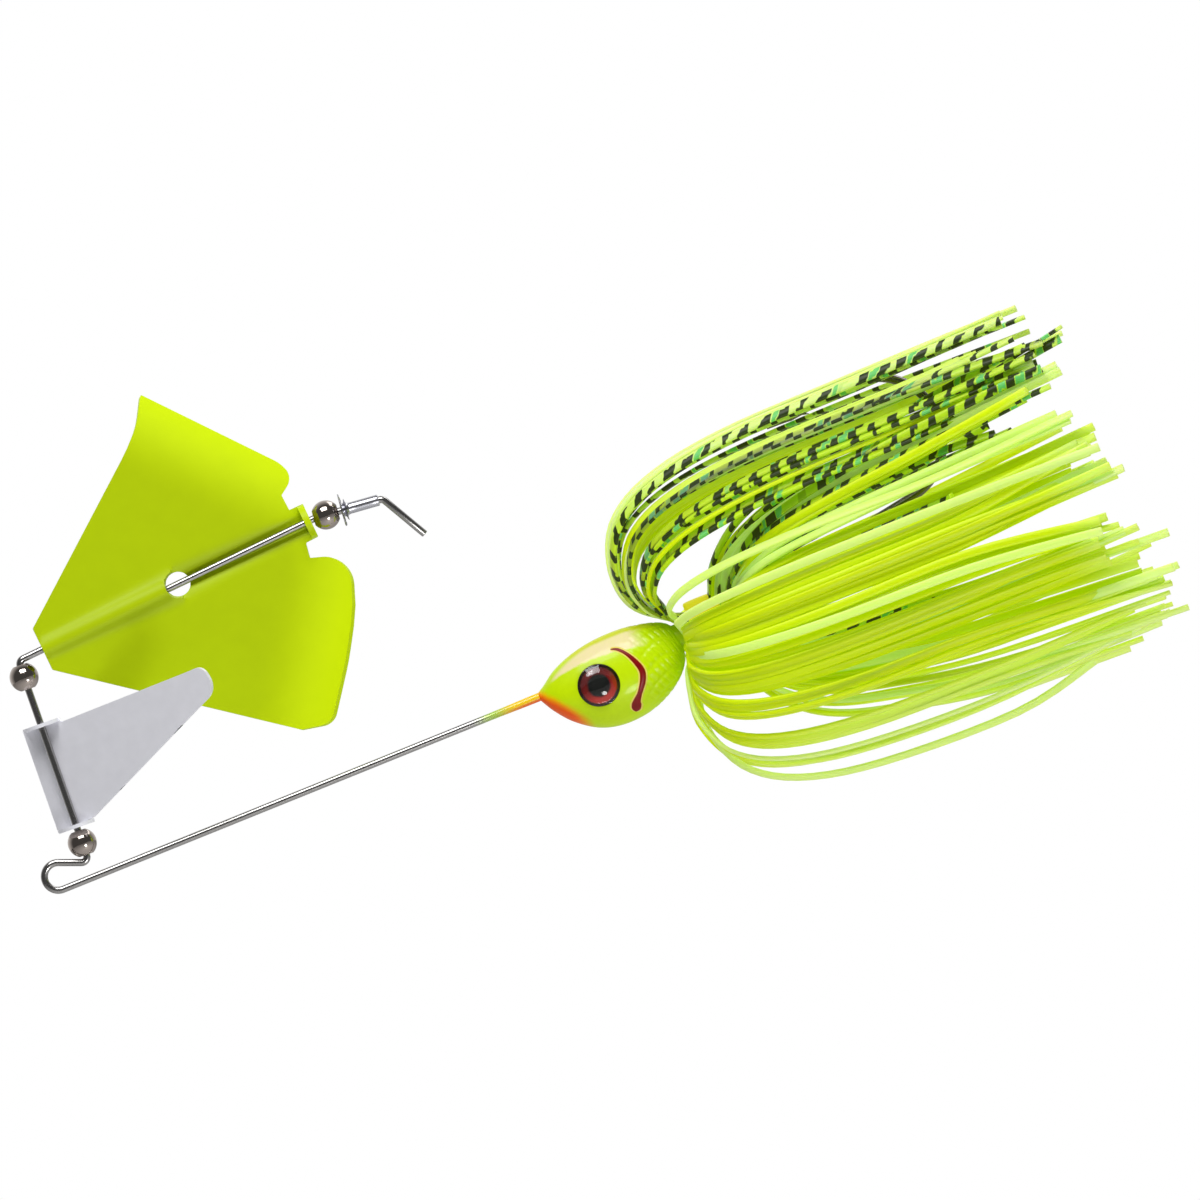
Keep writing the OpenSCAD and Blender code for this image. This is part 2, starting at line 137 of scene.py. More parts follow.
class Mesh:
    """Collects the points and faces of one piece, in millimetres."""

    def __init__(self):
        self.verts = []
        self.faces = []
        self.uvs = []

    def rings(self, rings, uvs=None, caps=True, loop=False):
        """Skins rings of equally many points. loop joins the last ring to the first."""
        base, n = len(self.verts), len(rings[0])
        for ring in rings:
            self.verts.extend(ring)
        count = len(rings)
        for i in range(count if loop else count - 1):
            j = (i + 1) % count
            for k in range(n):
                q = (k + 1) % n
                self.faces.append([base + i * n + k, base + i * n + q, base + j * n + q, base + j * n + k])
                if uvs:
                    self.uvs.append([uvs[i][k], uvs[i][k + 1], uvs[j][k + 1], uvs[j][k]])
        if caps and not loop:
            self.faces.append([base + k for k in reversed(range(n))])
            self.faces.append([base + (count - 1) * n + k for k in range(n)])
            if uvs:
                self.uvs.append([uvs[0][k] for k in reversed(range(n))])
                self.uvs.append([uvs[-1][k] for k in range(n)])

    def tube(self, path, radius, sides=24):
        """A round tube along a path. radius is a function of the point's index."""
        last = len(path) - 1
        ahead = [(path[min(i + 1, last)] - path[max(i - 1, 0)]).normalized() for i in range(last + 1)]
        side = ahead[0].orthogonal().normalized()
        rings = []
        for i, p in enumerate(path):
            side = (side - ahead[i] * side.dot(ahead[i])).normalized()
            up = ahead[i].cross(side)
            r = radius(i)
            rings.append([p + (side * x + up * y) * r for x, y in turns(sides)])
        self.rings(rings)

    def lathe(self, profile, place, sides=64, warp=None):
        """A closed profile of (radius, height) turned about local Z. warp moves a point by its angle."""
        rings = []
        for k in range(sides):
            a = TAU * k / sides
            ring = []
            for r, h in profile:
                if warp:
                    r, h = warp(r, h, a)
                ring.append(place @ Vector((r * math.cos(a), r * math.sin(a), h)))
            rings.append(ring)
        self.rings(rings, loop=True)

    def cap_lathe(self, profile, place, sides=64):
        """A profile that starts and ends on the axis, turned about local Z."""
        rings = [[place @ Vector((r * x, r * y, h)) for x, y in turns(sides)] for r, h in profile[1:-1]]
        base = len(self.verts)
        self.rings(rings, caps=False)
        for centre, row, flip in ((profile[0], 0, True), (profile[-1], len(rings) - 1, False)):
            tip = len(self.verts)
            self.verts.append(place @ Vector((0, 0, centre[1])))
            for k in range(sides):
                a, b = base + row * sides + k, base + row * sides + (k + 1) % sides
                self.faces.append([tip, b, a] if flip else [tip, a, b])

    def sheet(self, outline, holes, step, warp, thickness):
        """A plate with holes: 2-D outline, filled with an even mesh, then bent by warp(x, y) -> Vector."""
        loops = [resample(outline, step)]
        for x, y, r in holes:
            count = max(16, int(TAU * r / (0.6 * step)))
            loops.append([Vector((x + r * c, y + r * s)) for c, s in turns(count)])
        points = [p for loop in loops for p in loop]
        edges = []
        for loop in loops:
            first = len(edges)
            edges += [(first + k, first + (k + 1) % len(loop)) for k in range(len(loop))]
        xs, ys = [p.x for p in outline], [p.y for p in outline]
        row_gap = step * 0.866
        for j in range(int((max(ys) - min(ys)) / row_gap) + 1):
            y = min(ys) + j * row_gap
            x = min(xs) + (step / 2 if j % 2 else 0)
            while x < max(xs):
                p = Vector((x, y))
                if inside(p, loops[0]) and all((p - q).length > 0.55 * step for q in loops[0]) and all(
                        (p - Vector(h[:2])).length > h[2] + 0.5 * step for h in holes):
                    points.append(p)
                x += step
        got, _, tris, *_ = delaunay_2d_cdt(points, edges, [], 0, 1e-6)
        keep = []
        for t in tris:
            c = (got[t[0]] + got[t[1]] + got[t[2]]) / 3
            if inside(c, loops[0]) and not any((c - Vector(h[:2])).length < h[2] * 0.995 for h in holes):
                keep.append(t)
        base, n, d = len(self.verts), len(got), 0.02
        for side in (0.5, -0.5):
            for p in got:
                here = warp(p.x, p.y)
                along_x = warp(p.x + d, p.y) - warp(p.x - d, p.y)
                along_y = warp(p.x, p.y + d) - warp(p.x, p.y - d)
                normal = along_x.cross(along_y)
                self.verts.append(here + normal.normalized() * thickness * side)
        rim = {}
        for a, b, c in keep:
            self.faces.append([base + a, base + b, base + c])
            self.faces.append([base + n + c, base + n + b, base + n + a])
            for e in ((a, b), (b, c), (c, a)):
                if (e[1], e[0]) in rim:
                    del rim[(e[1], e[0])]
                else:
                    rim[e] = True
        for a, b in rim:
            self.faces.append([base + b, base + a, base + n + a, base + n + b])

    def data(self, name):
        data = bpy.data.meshes.new(name)
        data.from_pydata([v * MM for v in self.verts], [], self.faces)
        return data

    def build(self, name, material, body, slot, replaces=(), bevel=0.0, sharp=50):
        """Makes the piece, and rides it on its body."""
        data = self.data(name)
        if self.uvs:
            layer = data.uv_layers.new(name="strand")
            flat_uvs = [c for face in self.uvs for uv in face for c in uv]
            layer.data.foreach_set("uv", flat_uvs)
        data.validate()
        obj = add_object(name, data)
        drop_loose(data)
        if bevel:
            apply_bevel(obj, bevel * MM)
        shade(obj, sharp)
        obj.data.materials.clear()
        obj.data.materials.append(material)
        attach(obj, body)
        if replaces:
            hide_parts(*replaces)
        return obj


def add_object(name, data):
    obj = bpy.data.objects.new(name, data)
    bpy.context.scene.collection.objects.link(obj)
    return obj


def shade(obj, sharp):
    """Smooth shading, with edges sharper than an angle in degrees kept."""
    obj.data.shade_smooth()
    obj.data.set_sharp_from_angle(angle=math.radians(sharp))


def drop_loose(data):
    """Removes points that no face uses, and turns the faces outwards."""
    bm = bmesh.new()
    bm.from_mesh(data)
    bmesh.ops.delete(bm, geom=[v for v in bm.verts if not v.link_faces], context="VERTS")
    bmesh.ops.recalc_face_normals(bm, faces=bm.faces)
    bm.to_mesh(data)
    bm.free()


def apply_modifiers(obj):
    """Replaces a mesh by the result of its modifiers."""
    graph = bpy.context.evaluated_depsgraph_get()
    data = bpy.data.meshes.new_from_object(obj.evaluated_get(graph))
    obj.modifiers.clear()
    obj.data = data


def apply_bevel(obj, width):
    mod = obj.modifiers.new("bevel", "BEVEL")
    mod.width = width
    mod.segments = 2
    mod.limit_method = "ANGLE"
    mod.angle_limit = math.radians(40)
    apply_modifiers(obj)


def cut(obj, cutters):
    """Cuts closed shapes out of a piece."""
    for cutter in cutters:
        mod = obj.modifiers.new("cut", "BOOLEAN")
        mod.operation = "DIFFERENCE"
        mod.solver = "EXACT"
        mod.object = cutter
    apply_modifiers(obj)
    for cutter in cutters:
        bpy.data.objects.remove(cutter)


def resample(loop, step):
    """Points along a closed outline, at most a step apart, with its corners kept."""
    out = []
    for i, p in enumerate(loop):
        q = loop[(i + 1) % len(loop)]
        count = max(1, math.ceil((q - p).length / step))
        out += [p.lerp(q, k / count) for k in range(count)]
    return out


def inside(p, loop):
    odd = False
    for i, a in enumerate(loop):
        b = loop[i - 1]
        if (a.y > p.y) != (b.y > p.y) and p.x < (b.x - a.x) * (p.y - a.y) / (b.y - a.y) + a.x:
            odd = not odd
    return odd


def round_corners(corners, radii):
    """A closed 2-D outline whose corners are rounded, each with its own radius."""
    out = []
    for i, here in enumerate(corners):
        r = radii[i]
        if r <= 0:
            out.append(here)
            continue
        d = (here - corners[i - 1]).normalized()
        e = (corners[(i + 1) % len(corners)] - here).normalized()
        turn = d.angle(e)
        back = r * math.tan(turn / 2)
        side = (e - d * d.dot(e)).normalized()
        centre = here - d * back + side * r
        count = max(2, int(math.degrees(turn) / 6))
        out += [centre + (d * math.sin(turn * k / count) - side * math.cos(turn * k / count)) * r
                for k in range(count + 1)]
    return out


def place(origin, z_axis, x_axis=Vector((0, 1, 0))):
    """Matrix of a local frame from its origin and axes, in millimetres."""
    z = z_axis.normalized()
    x = (x_axis - z * x_axis.dot(z)).normalized()
    y = z.cross(x)
    return Matrix.Translation(origin) @ Matrix((x, y, z)).transposed().to_4x4()


# ---------- driving points

ARM = flat(90 - ARM_LEAN)
SHAFT = flat(SHAFT_RISE)
REAR = flat(-REAR_DROOP)
TIE_OUT = TIE_R * flat(90 - TIE_DROP)
FOOT = TIE_OUT + TIE_LEG * flat(-TIE_DROP)
CORNER = FOOT + ARM_LEN * ARM
KINK = CORNER + SHAFT_LEN * SHAFT
TAIL = KINK + REAR_LEN * REAR
TAIL_END = TAIL + TAIL_LEN * flat(-TAIL_DROP)

# Trailing edges of the blade's wings, in the blade's frame, and how far in from them the wings curl
BLADE_FOOT = 3.7
BLADE_UP = Vector((-SHAFT.z, 0, SHAFT.x))
WING_EDGES = [(Vector((39.7, 8.9)), Vector((26.8, 25.3))), (Vector((41.5, -10.5)), Vector((30.2, -25.3)))]
CURL_W = 9.0


def outwards(a, b):
    """Unit vector across the edge from a to b, away from the blade's foot."""
    along = (b - a).normalized()
    out = Vector((along.y, -along.x))
    return out if out.dot(a) > 0 else -out


# ---------- materials

class Shader:
    """A procedural material with one Principled shader."""

    def __init__(self, name, base, roughness, metallic=0.0, **sockets):
        self.mat = bpy.data.materials.new(name)
        self.mat.use_nodes = True
        self.mat.diffuse_color = (*base, 1)
        self.nodes = self.mat.node_tree.nodes
        self.links = self.mat.node_tree.links
        self.bsdf = self.nodes["Principled BSDF"]
        self.set("Base Color", (*base, 1))
        self.set("Roughness", roughness)
        self.set("Metallic", metallic)
        for key, value in sockets.items():
            self.set(key.replace("_", " "), value)

    def set(self, socket, value):
        if isinstance(value, bpy.types.NodeSocket):
            self.links.new(value, self.bsdf.inputs[socket])
        else:
            self.bsdf.inputs[socket].default_value = value

    def node(self, kind, inputs=(), **settings):
        made = self.nodes.new("ShaderNode" + kind)
        for key, value in settings.items():
            setattr(made, key, value)
        for key, value in dict(inputs).items():
            if isinstance(value, bpy.types.NodeSocket):
                self.links.new(value, made.inputs[key])
            else:
                made.inputs[key].default_value = value
        return made

    def math(self, operation, a, b=0.0):
        return self.node("Math", {0: a, 1: b}, operation=operation).outputs[0]

    def mul(self, a, b):
        return self.math("MULTIPLY", a, b)

    def add(self, a, b):
        return self.math("ADD", a, b)

    def sub(self, a, b):
        return self.math("SUBTRACT", a, b)

    def place_mm(self):
        """The point on the object, in millimetres."""
        coords = self.node("TexCoord").outputs["Object"]
        return self.node("VectorMath", {0: coords, "Scale": 1 / MM}, operation="SCALE").outputs[0]

    def split(self, vector):
        return self.node("SeparateXYZ", {0: vector}).outputs

    def band(self, value, low, high):
        """0 below low, 1 above high, smooth between."""
        return self.node("MapRange", {"Value": value, "From Min": low, "From Max": high},
                         interpolation_type="SMOOTHSTEP").outputs["Result"]

    def noise(self, vector, scale, detail=3.0):
        return self.node("TexNoise", {"Vector": vector, "Scale": scale, "Detail": detail,
                                      "Roughness": 0.5}).outputs["Fac"]

    def stretch(self, vector, factors):
        return self.node("VectorMath", {0: vector, 1: factors}, operation="MULTIPLY").outputs[0]

    def pair(self, a, b):
        return self.node("CombineXYZ", {0: a, 1: b}).outputs[0]

    def mix(self, factor, a, b):
        made = self.node("Mix", data_type="RGBA")
        for index, value in ((0, factor), (6, a), (7, b)):
            if isinstance(value, bpy.types.NodeSocket):
                self.links.new(value, made.inputs[index])
            else:
                made.inputs[index].default_value = value if index == 0 else (*value, 1)
        return made.outputs[2]

    def bump(self, height, strength, distance):
        self.set("Normal", self.node("Bump", {"Height": height, "Strength": strength,
                                              "Distance": distance * MM}).outputs[0])


def wire_steel():
    s = Shader("wire_steel", (0.62, 0.61, 0.58), 0.16, 1.0)
    p = s.place_mm()
    x, _, z = s.split(p)
    paint = s.mul(s.band(s.add(x, s.noise(p, 0.9)), 60.5, 64.0), s.band(z, 4.0, 3.0))
    hue = s.mix(s.band(x, 63.0, 66.5), (0.42, 0.62, 0.08), (0.95, 0.62, 0.01))
    under = s.band(z, -1.9, -2.3)
    hue = s.mix(s.mul(s.band(x, 63.5, 68.0), under), hue, (0.95, 0.16, 0.01))
    s.set("Base Color", s.mix(paint, s.mix(s.noise(p, 3.0), (0.34, 0.33, 0.32), (0.44, 0.43, 0.42)), hue))
    s.set("Metallic", s.sub(1.0, paint))
    s.set("Roughness", s.add(0.12, s.mul(s.noise(p, 6.0), 0.14)))
    lines = s.noise(s.stretch(p, (0.35, 9.0, 9.0)), 1.4)
    s.bump(lines, 0.12, 0.02)
    return s.mat


def plated_steel(name, tone, roughness):
    s = Shader(name, tone, roughness, 1.0)
    p = s.place_mm()
    smear = s.noise(p, 1.1, 5.0)
    s.set("Base Color", s.mix(smear, tuple(0.86 * c for c in tone), tone))
    s.set("Roughness", s.add(roughness * 0.6, s.mul(smear, roughness * 0.9)))
    s.bump(s.noise(p, 7.0, 6.0), 0.05, 0.02)
    return s.mat


def sheet_aluminium(name, roughness, tone, metallic):
    s = Shader(name, tone, roughness, metallic)
    p = s.place_mm()
    grain = s.noise(s.stretch(p, (0.5, 0.5, 14.0)), 0.8, 5.0)
    cloud = s.noise(p, 0.55, 4.0)
    s.set("Base Color", s.mix(cloud, tuple(0.9 * c for c in tone), tone))
    s.set("Roughness", s.add(roughness * 0.8, s.mul(grain, roughness * 0.5)))
    s.bump(s.add(s.mul(grain, 0.5), cloud), 0.10, 0.03)
    return s.mat


def blade_paint():
    s = Shader("blade_paint", (0.46, 0.62, 0.0), 0.42, 0.0, Specular_IOR_Level=0.15)
    p = s.place_mm()
    cloud = s.noise(p, 0.35, 4.0)
    colour = s.mix(cloud, (0.43, 0.57, 0.0), (0.47, 0.62, 0.0))
    # Painted highlight: the paint lightens towards each wing's trailing edge, where the wing curls up towards
    # the light
    curl_highlight = s.mix(cloud, (0.64, 0.84, 0.0), (0.68, 0.88, 0.0))
    for a, b in WING_EDGES:
        out = outwards(a, b)
        way = SHAFT * out.x + BLADE_UP * out.y
        here = s.node("VectorMath", {0: p, 1: way}, operation="DOT_PRODUCT").outputs["Value"]
        edge = way.dot(CORNER + SHAFT * (BLADE_FOOT + a.x) + BLADE_UP * a.y)
        colour = s.mix(s.band(here, edge - 1.15 * CURL_W, edge + 1.0), colour, curl_highlight)
    s.set("Base Color", colour)
    s.bump(s.noise(p, 2.6, 4.0), 0.10, 0.03)
    return s.mat


def head_paint():
    # Painted glow: a weak emission in the paint's own hue lifts the head's shaded side
    s = Shader("head_paint", (0.50, 0.72, 0.0), 0.38, 0.0, Coat_Weight=0.25, Coat_Roughness=0.09,
               Specular_IOR_Level=0.12, Emission_Color=(0.54, 0.74, 0.0, 1), Emission_Strength=0.07)
    p = s.place_mm()
    x, y, z = s.split(p)
    drift = s.mul(s.sub(s.noise(p, 0.7), 0.5), 1.4)
    # the pearl patch's lower edge is an arc that peaks over the eye
    past = s.sub(x, EYE.x + 0.5)
    edge = s.sub(0.2, s.mul(s.mul(past, past), 0.02))
    above = s.sub(z, s.add(edge, s.mul(drift, 0.4)))
    patch, flank = s.band(above, -0.2, 0.2), s.math("ABSOLUTE", y)
    fades = ((s.add(x, drift), 86.4, 83.8), (x, 71.2, 72.4), (z, 2.3, 1.75), (flank, 1.3, 2.2))
    for value, low, high in fades:
        patch = s.mul(patch, s.band(value, low, high))
    colour = s.mix(s.noise(p, 1.6, 5.0), (0.51, 0.72, 0.0), (0.58, 0.81, 0.0))
    colour = s.mix(s.band(z, 0.9, 2.0), colour, (0.60, 0.64, 0.0))
    colour = s.mix(patch, colour, s.mix(s.noise(p, 2.4), (0.84, 0.75, 0.34), (0.90, 0.72, 0.50)))
    chin = s.add(s.mul(s.sub(x, 70.2), 1.18), s.add(z, 4.1))
    chin = s.add(chin, s.mul(drift, 0.5))
    near = s.band(x, 75.9, 72.8)
    colour = s.mix(s.mul(s.band(chin, 3.7, 2.0), near), colour, (0.98, 0.40, 0.0))
    colour = s.mix(s.mul(s.band(chin, 2.9, 1.4), near), colour, (1.0, 0.035, 0.0))
    s.set("Base Color", colour)
    s.bump(s.noise(p, 1.2, 3.0), 0.05, 0.05)
    return s.mat


def gill_paint(name, dark, light):
    s = Shader(name, dark, 0.3, 0.0, Specular_IOR_Level=0.25)
    p = s.place_mm()
    s.set("Base Color", s.mix(s.noise(p, 2.2, 4.0), dark, light))
    s.bump(s.noise(p, 3.0), 0.06, 0.03)
    return s.mat


def eye_foil():
    s = Shader("eye_foil", (0.5, 0.02, 0.02), 0.5, 0.2, Specular_IOR_Level=0.2)
    p = s.place_mm()
    x, _, z = s.split(p)
    dx, dz = s.sub(x, EYE.x), s.sub(z, EYE.z)
    ray = s.math("SQRT", s.add(s.mul(dx, dx), s.mul(dz, dz)))
    rays = s.noise(s.stretch(p, (1.0, 0.0, 1.0)), 2.2, 6.0)
    ray = s.add(ray, s.mul(s.sub(rays, 0.5), 0.22))
    low = s.band(s.add(dz, s.mul(dx, -0.3)), 1.6, -2.2)
    iris = s.mix(low, (0.24, 0.004, 0.004), (0.86, 0.030, 0.010))
    iris = s.mix(s.band(ray, 1.68, 1.42), iris, (0.12, 0.005, 0.005))
    iris = s.mix(s.band(ray, 2.30, 2.52), iris, (0.035, 0.012, 0.010))
    s.set("Base Color", s.mix(s.band(ray, 1.30, 1.46), (0.006, 0.008, 0.005), iris))
    s.bump(rays, 0.08, 0.03)
    return s.mat


def eye_resin():
    s = Shader("eye_resin", (0.98, 0.98, 0.98), 0.03, 0.0, Transmission_Weight=1.0, IOR=1.5)
    p = s.place_mm()
    s.set("Roughness", s.add(0.01, s.mul(s.noise(p, 1.5), 0.03)))
    s.bump(s.noise(p, 0.8), 0.03, 0.03)
    return s.mat


def band_rubber():
    # Painted glow: an emission in the rubber's yellow brightens the band where it is in shade
    s = Shader("band_rubber", (0.98, 0.84, 0.0), 0.45, Emission_Color=(0.98, 0.80, 0.0, 1),
               Emission_Strength=0.3)
    p = s.place_mm()
    s.set("Base Color", s.mix(s.noise(p, 0.8, 5.0), (0.94, 0.78, 0.0), (1.0, 0.90, 0.0)))
    s.bump(s.noise(p, 2.5, 4.0), 0.2, 0.06)
    return s.mat


# Painted light: the pale colour strands take where light would shine through the silicone
BACKLIT_PALE = (0.68, 0.98, 0.30)
BAR_PITCH = 2.9


def silicone(name, dark, light, painted_glow, bars=None):
    """Skirt silicone in fluorescent chartreuse, with a painted glow (emission) that lifts its shade. A
    strand's UV is (its number + place across it, millimetres along it).
    """
    s = Shader(name, light, 0.38, 0.0, Subsurface_Weight=0.85, Subsurface_Scale=1.6 * MM,
               Subsurface_Radius=(1.0, 1.0, 0.3), Coat_Weight=0.05, Coat_Roughness=0.25,
               Specular_IOR_Level=0.2, Emission_Color=(*light, 1), Emission_Strength=painted_glow)
    uv = s.node("UVMap", uv_map="strand").outputs[0]
    u, v, _ = s.split(uv)
    number = s.math("FLOOR", u)
    own = s.node("TexWhiteNoise", {"W": number}, noise_dimensions="1D").outputs["Value"]
    p = s.place_mm()
    tone = s.add(s.mul(own, 0.75), s.mul(s.noise(p, 0.12), 0.25))
    colour = s.mix(tone, dark, light)
    x, _, z = s.split(p)
    # Painted light: strands far out from the axis and near their tips are paled, standing in for light
    # shining through the silicone
    backlit_paling = s.math("MAXIMUM", s.band(s.math("ABSOLUTE", s.sub(z, AXIS_Z)), 15.0, 24.0),
                  s.band(x, 142.0, 153.0))
    share = s.add(s.mul(own, 0.45), 0.45)
    colour = s.mix(s.mul(backlit_paling, share), colour, BACKLIT_PALE)
    if bars:
        ink, fleck = bars
        across = s.sub(u, number)
        wobble = s.noise(s.pair(s.mul(number, 1.6), v), 0.8, 1.0)
        phase = s.add(s.math("DIVIDE", v, BAR_PITCH), s.mul(wobble, 0.8))
        phase = s.add(phase, s.mul(own, 0.55))
        phase = s.add(phase, s.mul(across, s.add(s.mul(own, 0.3), 0.15)))
        part = s.math("FRACT", phase)
        cell = s.node("TexWhiteNoise", {"Vector": s.pair(number, s.math("FLOOR", phase))},
                      noise_dimensions="2D").outputs["Value"]
        length = s.add(s.mul(cell, 0.30), 0.34)
        inked = s.band(s.sub(part, length), 0.0, -0.07)
        inked = s.mul(inked, s.band(cell, 0.06, 0.10))
        inked = s.mul(inked, s.band(part, 0.0, 0.05))
        inset = s.mul(s.math("FRACT", s.mul(cell, 7.0)), 0.55)
        edge = s.band(s.add(across, inset), 0.20, 0.30)
        minted = s.mul(s.band(part, 0.62, 0.70), s.band(cell, 0.66, 0.74))
        minted = s.mul(minted, s.band(part, 1.0, 0.94))
        colour = s.mix(minted, colour, fleck)
        colour = s.mix(s.mul(inked, edge), colour, ink)
    s.set("Base Color", colour)
    ribs = s.pair(s.mul(u, 3.0), s.mul(v, 0.3))
    s.bump(s.noise(ribs, 1.5, 4.0), 0.15, 0.06)
    return s.mat


# ---------- camera, lights, floor

ROLL = math.radians(22)
LOOK_AT = Vector((82.4, 0, 7.25)) * MM
FRAME_WIDTH = 163.2 * MM
VIEW_UP = Vector((math.sin(ROLL), 0, math.cos(ROLL)))
VIEW_RIGHT = Vector((math.cos(ROLL), 0, -math.sin(ROLL)))
TO_VIEWER = Vector((0, -1, 0))


def camera():
    data = bpy.data.cameras.new("camera")
    data.type = "ORTHO"
    data.ortho_scale = FRAME_WIDTH
    obj = add_object("camera", data)
    axes = Matrix((VIEW_RIGHT, VIEW_UP, TO_VIEWER)).transposed().to_4x4()
    obj.matrix_world = Matrix.Translation(LOOK_AT + TO_VIEWER * 0.5) @ axes
    bpy.context.scene.camera = obj


def area_light(name, direction, distance, size, power):
    """A rectangle of light that faces the middle of the view; metres and watts."""
    data = bpy.data.lights.new(name, "AREA")
    data.shape = "RECTANGLE"
    data.size, data.size_y = size
    data.energy = power
    obj = add_object(name, data)
    obj.location = LOOK_AT + direction.normalized() * distance
    obj.rotation_euler = (-direction).to_track_quat("-Z", "Y").to_euler()


def studio():
    """Soft light from above and in front, white around, and darker where the camera stands."""
    world = bpy.data.worlds.new("studio")
    bpy.context.scene.world = world
    world.use_nodes = True
    nodes, links = world.node_tree.nodes, world.node_tree.links
    sky = nodes["Background"]
    way = nodes.new("ShaderNodeTexCoord")
    axes = nodes.new("ShaderNodeSeparateXYZ")
    links.new(way.outputs["Generated"], axes.inputs[0])
    ramp = nodes.new("ShaderNodeMapRange")
    for socket, value in (("From Min", -0.1), ("From Max", 0.8), ("To Min", 0.10), ("To Max", 0.9)):
        ramp.inputs[socket].default_value = value
    links.new(axes.outputs["Y"], ramp.inputs["Value"])
    rays = nodes.new("ShaderNodeLightPath")
    seen = nodes.new("ShaderNodeMath")
    seen.operation = "MAXIMUM"
    links.new(rays.outputs["Is Camera Ray"], seen.inputs[0])
    links.new(ramp.outputs["Result"], seen.inputs[1])
    sky.inputs["Color"].default_value = (1, 1, 1, 1)
    links.new(seen.outputs[0], sky.inputs["Strength"])
    front, up, right = TO_VIEWER, VIEW_UP, VIEW_RIGHT
    area_light("key", front * 0.62 + up * 0.80 - right * 0.34, 0.5, (0.36, 0.25), 2.3)
    area_light("fill", front * 0.80 - up * 0.42 + right * 0.30, 0.4, (0.10, 0.08), 0.35)
    area_light("rim", -front * 0.4 + up * 0.9 + right * 0.3, 0.5, (0.4, 0.2), 0.6)


FLOOR_GAP = 0.24


def floor():
    low = cad_box[0].z - FLOOR_GAP
    bpy.ops.mesh.primitive_plane_add(size=3, location=(LOOK_AT.x, 0, low))
    obj = bpy.context.object
    obj.name = "floor"
    s = Shader("floor_paper", (0.86, 0.86, 0.86), 0.9)
    s.set("Base Color", s.mix(s.noise(s.place_mm(), 0.02), (0.84, 0.84, 0.84), (0.88, 0.88, 0.88)))
    obj.data.materials.append(s.mat)


# ---------- wire, hook and turned parts

def wire_form(steel):
    path = [Vector((ARM_END_X - k * 0.4, 0, -TIE_R)) for k in range(int(ARM_END_X / 0.4))]
    loop = 180 + TIE_DROP
    path += [TIE_R * flat(-90 - loop * k / 60) for k in range(61)]
    path += rounded_path([TIE_OUT, FOOT, CORNER, KINK, TAIL, TAIL_END], [0, 0.75, 0.8, 2, 0.8, 0])[1:]
    end = path[-1]
    path = path[:-1] + [end - 0.08 * flat(-TAIL_DROP), end]
    coat = [0.09 * smooth_step(62, 69.5, p.x) if p.z < 0 else 0 for p in path]
    last = len(path) - 1
    mesh = Mesh()
    mesh.tube(path, lambda i: WIRE_R + coat[i] - (0.07 if i in (0, last) else 0))
    mesh.build("wire", steel, "lure", "wire", ["wire_form"])


def bead_profile():
    mouth_r, mouth_z = 1.0, math.sqrt(BEAD_R ** 2 - 1.0)
    edge = math.asin(mouth_z / BEAD_R)
    profile = [(BEAD_R * math.cos(edge * k / 14), BEAD_R * math.sin(edge * k / 14)) for k in range(-14, 15)]
    funnel = [(mouth_r - 0.06, 0.01), (RUN_R + 0.05, 0.32), (RUN_R, 0.42)]
    profile += [(r, mouth_z - depth) for r, depth in funnel]
    return profile + [(r, -mouth_z + depth) for r, depth in reversed(funnel)]


def bead(name, body, origin, axis, material):
    mesh = Mesh()
    mesh.lathe(bead_profile(), place(origin, axis), 64)
    mesh.build(name, material, body, "bead", [name], sharp=30)


def rivet(material):
    """Thin torn flange, short torn flare, and a tube that is slightly dented."""
    neck_r, flange_h, flare_h = 1.2, 0.5, 1.2

    def torn(r, h, a):
        seed = Vector((math.cos(a) * 2.2, math.sin(a) * 2.2, 4.0))
        tear = noise.noise(seed * 1.5) * 0.5 + noise.noise(seed * 5.0) * 0.35
        if h < flange_h and r > neck_r:
            out = (r - neck_r) / 1.1
            return r * (1 - 0.20 * out * max(0, tear + 0.15)), h + 0.42 * out * tear + 0.12 * out
        if flange_h <= h < flare_h and r > neck_r:
            return r * (1 + 0.16 * tear), h + 0.25 * tear
        return r * (1 + 0.012 * noise.noise(Vector((a * 2, h * 1.4, 0)))), h

    r, bore, length = 0.78, 0.56, 5.3
    profile = [(bore, 0.02), (1.2, 0.0), (1.7, -0.01), (2.28, 0.0), (2.31, 0.05), (2.26, 0.10), (1.6, 0.14)]
    profile += [(1.0, 0.22), (0.9, 0.45), (1.1, 0.58), (1.42, 0.66), (1.45, 0.72), (1.1, 0.78)]
    profile += [(0.84, 0.92), (r, 1.2), (r, 2.2), (r, 3.2), (r, 4.2), (r, length - 0.12)]
    profile += [(r - 0.05, length), (bore + 0.04, length), (bore, length - 0.08)]
    mesh = Mesh()
    mesh.lathe(profile, place(KINK + RIVET_S * REAR, REAR), 96, torn)
    mesh.build("rivet", material, "rear_rivet", "rivet", ["rivet"])


